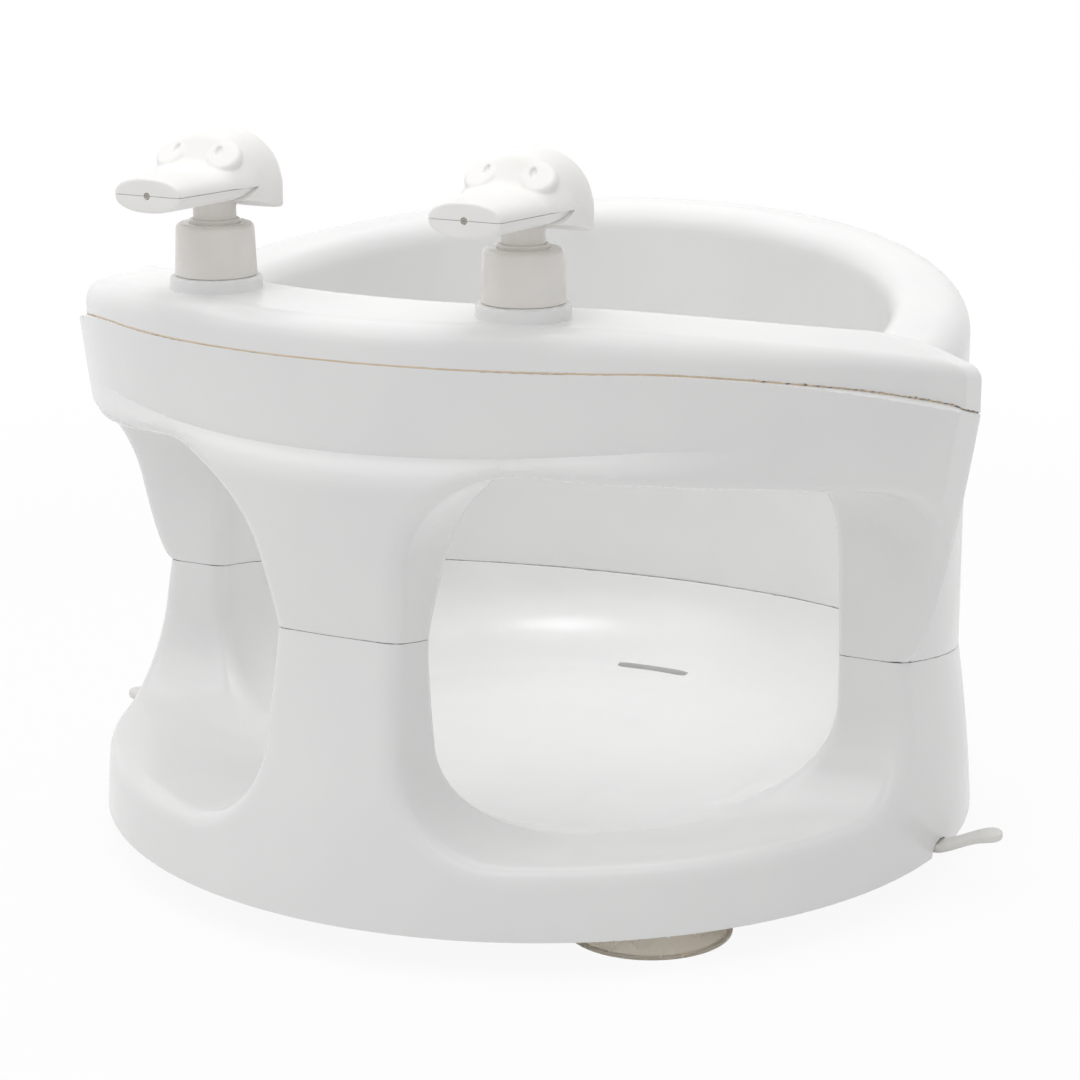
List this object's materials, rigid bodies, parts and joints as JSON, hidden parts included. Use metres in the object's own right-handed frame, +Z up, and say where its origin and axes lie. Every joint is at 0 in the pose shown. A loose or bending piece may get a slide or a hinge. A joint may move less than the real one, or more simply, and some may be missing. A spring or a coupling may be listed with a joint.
{
  "type": "baby bath seat",
  "caption": "Round baby bath seat: a hollow base and ring with leg openings, suction cups with release straps, and a crescent lid with press pumps shaped as duck heads over soap tanks.",
  "frame": {"origin": "on the surface that the suction cups stand on, at the middle of the part's box", "axes": "+Z up, front is -Y, where the lid and its pumps are, +X to the seat's right side seen from the front"},
  "size_m": [0.41, 0.364, 0.3],
  "materials": {
    "shell": "glossy injection-moulded white",
    "head": "satin white",
    "collar": "smooth pale warm grey",
    "strap": "soft satin white",
    "cup": "translucent cream silicone",
    "seal": "amber silicone",
    "tank": "translucent natural plastic",
    "pump": "natural white plastic",
    "steel": "bright steel"
  },
  "bodies": {
    "seat": {"base_shell": "shell", "ring_shell": "shell", "right_tank": "tank", "left_tank": "tank", "right_release_strap": "strap", "left_release_strap": "strap", "front_right_suction_cup": "cup", "front_left_suction_cup": "cup", "rear_right_suction_cup": "cup", "rear_left_suction_cup": "cup"},
    "lid": {"lid": "shell", "lid_gasket": "seal", "left_collar": "collar", "left_neck_seal": "seal", "left_pump_barrel": "pump", "left_bushing": "collar", "left_dip_tube": "tank", "left_check_ball": "steel", "left_return_spring": "steel", "right_collar": "collar", "right_neck_seal": "seal", "right_pump_barrel": "pump", "right_bushing": "collar", "right_dip_tube": "tank", "right_check_ball": "steel", "right_return_spring": "steel"},
    "left_plunger": {"left_stem": "collar", "left_piston": "pump"},
    "left_head": {"left_duck_head": "head", "left_duck_jaw": "head"},
    "right_plunger": {"right_stem": "collar", "right_piston": "pump"},
    "right_head": {"right_duck_head": "head", "right_duck_jaw": "head"}
  },
  "joints": [
    {"name": "lid_lift", "type": "slide", "parent": "seat", "child": "lid", "axis": [0, 0, 1], "range_m": [0, 0.08]},
    {"name": "left_pump_press", "type": "slide", "parent": "lid", "child": "left_plunger", "axis": [0, 0, -1], "range_m": [0, 0.005], "stiffness_N_per_m": 400, "springref_m": -0.003, "deforming": ["left_return_spring"]},
    {"name": "left_head_turn", "type": "hinge", "parent": "left_plunger", "child": "left_head", "pos_m": [-0.0645, -0.135, 0.275], "axis": [0, 0, 1], "continuous": true},
    {"name": "right_pump_press", "type": "slide", "parent": "lid", "child": "right_plunger", "axis": [0, 0, -1], "range_m": [0, 0.005], "stiffness_N_per_m": 400, "springref_m": -0.003, "deforming": ["right_return_spring"]},
    {"name": "right_head_turn", "type": "hinge", "parent": "right_plunger", "child": "right_head", "pos_m": [0.0645, -0.135, 0.275], "axis": [0, 0, 1], "continuous": true}
  ]
}
